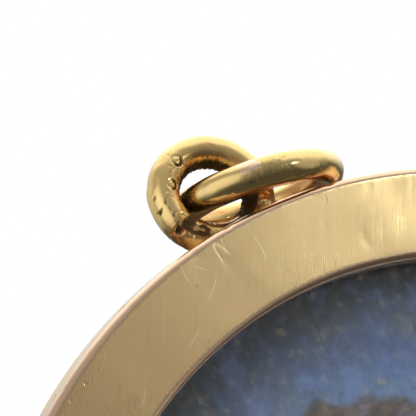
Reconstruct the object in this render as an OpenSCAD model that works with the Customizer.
// Round glazed portrait locket with a fixed loop and a loose ring.
// Upright as it hangs: +Z up to the loop, the portrait faces -Y, +X to the right.
// The origin is the centre of the fixed loop's eye. Depths are counted back from the front face.

/* [Case] */
// Outside diameter of the case
case_d = 45; // [38:0.5:56]
// Width of the flat front frame, from the opening to the outside edge
frame_w = 3.92; // [3.5:0.02:5]
// Thickness of the front frame
frame_t = 0.9; // [0.7:0.05:1.3]
// Depth of the side wall, front face to rear edge
wall_depth = 2.1; // [1.8:0.05:3]
// Thickness of the band that makes the side wall
band_t = 1.65; // [1.3:0.05:2]
// Rounding of the frame's outer front edge
outer_round = 0.3; // [0.1:0.05:0.45]
// Rounding of the frame's inner front edge
inner_round = 0.28; // [0.1:0.02:0.4]
// Rounding of the side wall's rear edge
rear_round = 0.5; // [0.1:0.05:0.6]

/* [Glass and portrait] */
// How far glass and portrait reach under the frame
seat_w = 1.1; // [0.8:0.05:1.3]
// Thickness of the front glass
glass_t = 0.7; // [0.5:0.05:1.2]
// Thickness of the slip between glass and portrait
slip_t = 0.2; // [0.15:0.05:0.5]
// Width of the slip
slip_w = 0.85; // [0.5:0.05:1]
// Thickness of the portrait plaque
plaque_t = 0.35; // [0.3:0.05:0.8]
// Thickness of the card behind the portrait
card_t = 0.25; // [0.2:0.05:0.6]
// Thickness of the plate that closes the portrait from behind
dust_plate_t = 0.2; // [0.15:0.05:0.4]
// Thickness of the inner wall that holds the stack
bezel_t = 0.4; // [0.3:0.05:0.6]
// Wire diameter of the split spring ring
spring_wire_d = 0.45; // [0.4:0.05:0.7]
// Depth of the groove that the spring ring sits in
spring_groove = 0.1; // [0.05:0.01:0.15]
// Opening of the split spring ring, in degrees
spring_gap = 14; // [6:1:40]
// Gap between the stack's rim and the inner wall
stack_fit = 0.03; // [0.01:0.01:0.08]

/* [Back cover] */
// Thickness of the back cover's metal
cover_t = 0.42; // [0.3:0.02:0.6]
// Height of the back cover's straight edge
cover_edge_h = 0.6; // [0.5:0.05:1.2]
// Radius of the back cover's rounded shoulder
shoulder_r = 1.5; // [1.2:0.1:2]
// Rise of the domed back between shoulder and middle
dome_rise = 0.7; // [0.4:0.1:1.5]
// Step from the side wall in to the cover's edge
cover_step = 1.3; // [0.8:0.05:1.6]
// Thickness of the cover's inner lip
lip_t = 0.45; // [0.35:0.05:0.6]
// Depth of the cover's inner lip below the rear edge of the wall
lip_depth = 0.85; // [0.5:0.05:1.1]
// Gap between the lip and the band
lip_fit = 0.12; // [0.1:0.01:0.2]
// Gap between the closed cover and the side wall's rear edge
seat_fit = 0.04; // [0.02:0.01:0.1]
// Part of the lip that is left out at the hinge, in degrees to each side
lip_relief = 52; // [48:1:70]
// Width of the thumb lip
thumb_w = 5; // [3:0.5:8]
// How far the thumb lip reaches past the cover's edge
thumb_reach = 0.9; // [0.5:0.05:1]
// Thickness of the thumb lip
thumb_t = 0.35; // [0.3:0.05:0.5]
// Height of the snap bead on the lip
bead_h = 0.06; // [0.03:0.01:0.07]
// Wire radius of the snap bead
bead_r = 0.15; // [0.1:0.01:0.2]
// Gap between the snap bead and the groove it springs into
bead_fit = 0.04; // [0.02:0.01:0.08]
// Part of the lip that carries the snap bead, in degrees
bead_angle = 24; // [10:1:40]

/* [Keepsake] */
// Step from the portrait's stack in to the keepsake's cup
cup_step = 0.58; // [0.5:0.02:1]
// Thickness of the cup's wall
cup_t = 0.35; // [0.3:0.05:0.5]
// Thickness of the keepsake card
keepsake_t = 0.2; // [0.1:0.05:0.3]
// Thickness of the pane over the keepsake
pane_t = 0.25; // [0.15:0.05:0.3]
// Width of the keepsake's push-in rim
rim_w = 0.9; // [0.6:0.1:1.5]
// Thickness of the keepsake's push-in rim
rim_t = 0.3; // [0.2:0.05:0.35]
// Gap around the keepsake inside the cup
cup_fit = 0.03; // [0.02:0.01:0.08]

/* [Hinge] */
// Diameter of the hinge barrel
barrel_d = 1.3; // [1.1:0.05:1.5]
// Diameter of the hinge pin
pin_d = 0.6; // [0.5:0.05:0.7]
// Gap between the pin and the cover's knuckles
pin_fit = 0.04; // [0.02:0.01:0.08]
// Distance of the hinge axis in from the side wall
hinge_inset = 0.9; // [0.8:0.05:1]
// Length of the whole hinge
hinge_len = 8; // [6:0.5:9]
// Gap between neighbouring knuckles
knuckle_gap = 0.08; // [0.05:0.01:0.15]
// Gap between the barrel and the cover's straight hinge wall
barrel_gap = 0.15; // [0.1:0.01:0.2]
// Gap between the cover's knuckles and the side wall's rear edge
barrel_lift = 0.08; // [0.05:0.01:0.12]
// Width of the feet that carry the case's knuckles
foot_w = 0.9; // [0.6:0.05:1]
// Thickness of the straps that carry the cover's knuckles
strap_t = 0.6; // [0.4:0.05:0.8]
// Thickness of the cover's straight hinge wall
hinge_wall_t = 0.35; // [0.3:0.05:0.4]

/* [Loop and ring] */
// Wire diameter of the fixed loop and of the loose ring
wire_d = 1.4; // [1.2:0.02:1.5]
// Diameter of the fixed loop, measured to the middle of its wire
loop_d = 4.1; // [3.8:0.02:5]
// Height of the fixed loop's eye above the case's edge
loop_rise = 1.5; // [1.2:0.01:1.9]
// Depth of the fixed loop behind the front face
loop_depth = 1.8; // [1.4:0.05:2]
// How far the fixed loop leans back, in degrees
loop_lean = 13.5; // [0:0.5:20]
// Radius of the solder at each foot of the loop
solder_r = 0.55; // [0.4:0.05:0.7]
// Depth of the solder's middle under the surface of the loop's wire
solder_sink = 0.18; // [0.1:0.02:0.3]
// Diameter of the loose ring, measured to the middle of its wire
ring_d = 6.66; // [6.4:0.02:8.0]
// Gap between the wires where ring and loop hang in each other
link_gap = 0.05; // [0.03:0.01:0.1]
// Place on the loop where the ring touches it, in degrees from the top to the right
link_place = -72.5; // [-120:0.5:-60]
// Turn of the ring around the loop's wire, in degrees
link_turn = 19.5; // [15:0.5:35]
// Twist of the ring against the loop's wire, in degrees
link_twist = -97; // [-105:1:-80]
// Slope of the ring away from the place where it hangs, in degrees
link_slope = 186.5; // [170:0.5:190]

/* [Hidden] */
fine = 96;
eps = 0.01;
past = 5;

gold = "goldenrod";
pale_gold = "khaki";

case_r = case_d / 2;
open_r = case_r - frame_w;
band_inner_r = case_r - band_t;
stack_r = open_r + seat_w;
bezel_inner_r = stack_r + stack_fit;
bezel_outer_r = bezel_inner_r + bezel_t;

glass_y = frame_t;
slip_y = glass_y + glass_t;
plaque_y = slip_y + slip_t;
card_y = plaque_y + plaque_t;
dust_y = card_y + card_t;
spring_r = bezel_inner_r + spring_groove - spring_wire_d / 2;
spring_y = dust_y + dust_plate_t + spring_wire_d / 2;
bezel_end_y = spring_y + spring_wire_d / 2 + spring_groove;

seat_y = wall_depth + seat_fit;
cover_r = case_r - cover_step;
lip_outer_r = band_inner_r - lip_fit;
lip_inner_r = lip_outer_r - lip_t;
shoulder_c = cover_r - shoulder_r;
shoulder_y = seat_y + cover_edge_h;
back_y = shoulder_y + shoulder_r + dome_rise;
// A circle through the middle of the back that runs smoothly into the shoulder's circle
dome_r = (shoulder_c * shoulder_c / dome_rise + 2 * shoulder_r + dome_rise) / 2;
dome_y = back_y - dome_r;
bead_y = wall_depth - lip_depth / 2;

cup_inner_r = stack_r - cup_step - cup_t;
cup_outer_r = cup_inner_r + cup_t;
keepsake_r = cup_inner_r - cup_fit;
keepsake_y = dome_y + sqrt(pow(dome_r - cover_t, 2) - pow(cup_inner_r, 2)) - keepsake_t - eps;
pane_y = keepsake_y - pane_t;
rim_y = pane_y - rim_t;

barrel_r = barrel_d / 2;
hinge_x = hinge_inset - case_r;
hinge_y = wall_depth + barrel_r + barrel_lift;
hinge_wall_x = hinge_x + barrel_r + barrel_gap;
knuckles = 5;
knuckle_len = hinge_len / knuckles - knuckle_gap;

wire_r = wire_d / 2;
loop_r = loop_d / 2;
ring_r = ring_d / 2;
loop_z = case_r + loop_rise;

// Moves a piece drawn around the middle of the front face so that the loop's eye is the origin
module from_loop() { translate([0, -loop_depth, -loop_z]) children(); }

// Turns a profile of radius and depth around the case's axis
module turned(angle = 360) { rotate([-90, 0, 0]) rotate_extrude(angle = angle, $fn = fine * 2) children(); }

// The sharp part of an outside corner, which the rounding takes away
module corner_waste(at, r, dx, dy) {
    translate(at) difference() {
        translate([dx > 0 ? -eps : -r, dy > 0 ? -eps : -r]) square(r + eps);
        translate([dx * r, dy * r]) circle(r, $fn = fine / 2);
    }
}

// A flat ring's profile
module ring_profile(r0, r1, y0, y1) { translate([r0, y0]) square([r1 - r0, y1 - y0]); }

// A plain disc of the stack
module disc(r, y, t) { turned() ring_profile(0, r, y, y + t); }

// A round wire bent into a circle around Z
module wire_ring(r, w) { rotate_extrude($fn = fine) translate([r, 0]) circle(w, $fn = fine / 2); }

module front_frame() {
    color(pale_gold) from_loop() turned() difference() {
        ring_profile(open_r, case_r, 0, frame_t);
        corner_waste([case_r, 0], outer_round, -1, 1);
        corner_waste([open_r, 0], inner_round, 1, 1);
    }
}

module case_band() {
    color(gold) from_loop() turned() difference() {
        ring_profile(band_inner_r, case_r, frame_t, wall_depth);
        corner_waste([case_r, wall_depth], rear_round, -1, -1);
        translate([lip_outer_r - bead_r + bead_h, bead_y]) circle(bead_r + lip_fit - bead_h + bead_fit, $fn = fine / 2);
    }
}

module glazing_bezel() {
    color(gold) from_loop() turned() difference() {
        ring_profile(bezel_inner_r, bezel_outer_r, frame_t, bezel_end_y);
        translate([spring_r, spring_y]) circle(spring_wire_d / 2 + eps, $fn = fine / 2);
    }
}

module front_glass() { color("lightcyan", 0.4) from_loop() disc(stack_r, glass_y, glass_t); }

module spacer_slip() {
    color(gold) from_loop() turned() ring_profile(stack_r - slip_w, stack_r, slip_y, slip_y + slip_t);
}

module portrait_plaque() { color("steelblue") from_loop() disc(stack_r, plaque_y, plaque_t); }

module backing_card() { color("tan") from_loop() disc(stack_r, card_y, card_t); }

module dust_plate() { color(pale_gold) from_loop() disc(stack_r, dust_y, dust_plate_t); }

module spring_ring() {
    color("peru") from_loop() rotate([0, 90 + spring_gap / 2, 0]) turned(360 - spring_gap)
        translate([spring_r, spring_y]) circle(spring_wire_d / 2, $fn = fine / 2);
}

// Knuckle number i of the hinge, counted from the bottom
module at_knuckle(i) {
    translate([hinge_x, hinge_y, -hinge_len / 2 + i * hinge_len / knuckles + knuckle_gap / 2]) children();
}

module case_knuckles() {
    color(gold) from_loop() for (i = [0 : 2 : knuckles - 1]) at_knuckle(i) difference() {
        union() {
            cylinder(h = knuckle_len, r = barrel_r, $fn = fine / 2);
            translate([-foot_w / 2, wall_depth - hinge_y, 0]) cube([foot_w, hinge_y - wall_depth, knuckle_len]);
        }
        translate([0, 0, -past]) cylinder(h = knuckle_len + 2 * past, r = pin_d / 2, $fn = fine / 2);
    }
}

module hinge_pin() {
    color("darkgoldenrod") from_loop() translate([hinge_x, hinge_y, -hinge_len / 2 + knuckle_gap / 2])
        cylinder(h = hinge_len - knuckle_gap, r = pin_d / 2, $fn = fine / 2);
}

// Places a piece in the leaning plane of the loop, whose axis is Y there
module at_loop() { rotate([-loop_lean, 0, 0]) children(); }

module case_solid() { from_loop() turned() ring_profile(0, case_r, -past, wall_depth + past); }

module bail_loop() {
    color(gold) difference() {
        at_loop() rotate([90, 0, 0]) wire_ring(loop_r, wire_r);
        case_solid();
    }
}

// One foot of the loop is where its wire dips into the case's edge
module bail_solder() {
    foot_z = -loop_rise;
    foot_x = sqrt(pow(loop_r, 2) - pow(foot_z, 2));
    foot_y = foot_z * sin(loop_lean);
    color("sienna") difference() {
        for (side = [-1, 1]) translate([side * (foot_x + wire_r - solder_sink), foot_y, foot_z]) sphere(solder_r, $fn = fine / 2);
        at_loop() rotate([90, 0, 0]) wire_ring(loop_r, wire_r);
        case_solid();
    }
}

// The filled outline of the back cover, taken in by a wall thickness
module cover_outline(inset, y0) {
    lean = atan2(shoulder_c, shoulder_y - dome_y);
    reach = shoulder_r + past;
    ring_profile(0, cover_r - inset, y0, shoulder_y);
    translate([shoulder_c, shoulder_y]) intersection() {
        circle(shoulder_r - inset, $fn = fine);
        translate([-shoulder_r, 0]) square([2 * shoulder_r, shoulder_r]);
    }
    intersection() {
        translate([0, dome_y]) circle(dome_r - inset, $fn = fine * 15);
        polygon([[0, y0], [shoulder_c, y0], [shoulder_c, shoulder_y],
                 [shoulder_c + reach * sin(lean), shoulder_y + reach * cos(lean)], [0, back_y + past]]);
    }
}

// Everything that lies within some degrees of the hinge, seen from the case's axis
module hinge_sector(half_angle) {
    span = case_d * cos(half_angle);
    side = case_d * sin(half_angle);
    rotate([90, 0, 0]) translate([0, 0, -back_y - past]) linear_extrude(back_y + 2 * past)
        polygon([[0, 0], [-span, side], [-case_d, side], [-case_d, -side], [-span, -side]]);
}

module back_cover() {
    color(gold) from_loop() intersection() {
        union() {
            turned() difference() {
                cover_outline(0, seat_y);
                cover_outline(cover_t, seat_y - past);
            }
            difference() {
                turned() {
                    ring_profile(lip_inner_r, cover_r - cover_t / 2, seat_y, seat_y + cover_t);
                    ring_profile(lip_inner_r, lip_outer_r, wall_depth - lip_depth, seat_y + cover_t);
                }
                hinge_sector(lip_relief);
            }
            turned() intersection() {
                cover_outline(cover_t / 2, rim_y);
                ring_profile(cup_inner_r, cup_outer_r, rim_y, back_y);
            }
            intersection() {
                turned() cover_outline(0, seat_y);
                translate([hinge_wall_x, seat_y, -hinge_len]) cube([hinge_wall_t, back_y, 2 * hinge_len]);
            }
        }
        translate([hinge_wall_x, -past, -case_d]) cube([2 * case_d, back_y + 2 * past, 2 * case_d]);
    }
}

module cover_knuckles() {
    color(gold) from_loop() for (i = [1 : 2 : knuckles - 1]) at_knuckle(i) difference() {
        union() {
            cylinder(h = knuckle_len, r = barrel_r, $fn = fine / 2);
            translate([0, -strap_t / 2, 0]) cube([hinge_wall_x - hinge_x, strap_t, knuckle_len]);
        }
        translate([0, 0, -past]) cylinder(h = knuckle_len + 2 * past, r = pin_d / 2 + pin_fit, $fn = fine / 2);
    }
}

module thumb_lip() {
    color(gold) from_loop() intersection() {
        turned() ring_profile(cover_r, cover_r + thumb_reach, seat_y + cover_t / 2, seat_y + cover_t / 2 + thumb_t);
        translate([0, -past, -thumb_w / 2]) cube([case_d, back_y + 2 * past, thumb_w]);
    }
}

module snap_bead() {
    color(gold) from_loop() rotate([0, bead_angle / 2, 0]) turned(bead_angle) difference() {
        translate([lip_outer_r - bead_r + bead_h, bead_y]) circle(bead_r, $fn = fine / 2);
        ring_profile(lip_inner_r, lip_outer_r, 0, wall_depth);
    }
}

module keepsake_card() { color("wheat") from_loop() disc(keepsake_r, keepsake_y, keepsake_t); }

module keepsake_pane() { color("lightcyan", 0.4) from_loop() disc(keepsake_r, pane_y, pane_t); }

module keepsake_rim() {
    color(gold) from_loop() turned() ring_profile(keepsake_r - rim_w, keepsake_r, rim_y, rim_y + rim_t);
}

module jump_ring() {
    color(gold) at_loop() rotate([0, link_place, 0]) translate([0, 0, loop_r]) rotate([link_turn, 0, 0])
        translate([0, 0, -wire_d - link_gap]) rotate([0, 0, link_twist]) rotate([link_slope, 0, 0])
        translate([0, 0, ring_r]) rotate([90, 0, 0]) wire_ring(ring_r, wire_r);
}

front_frame();
case_band();
glazing_bezel();
front_glass();
spacer_slip();
portrait_plaque();
backing_card();
dust_plate();
spring_ring();
case_knuckles();
hinge_pin();
bail_loop();
bail_solder();
back_cover();
cover_knuckles();
thumb_lip();
snap_bead();
keepsake_card();
keepsake_pane();
keepsake_rim();
jump_ring();
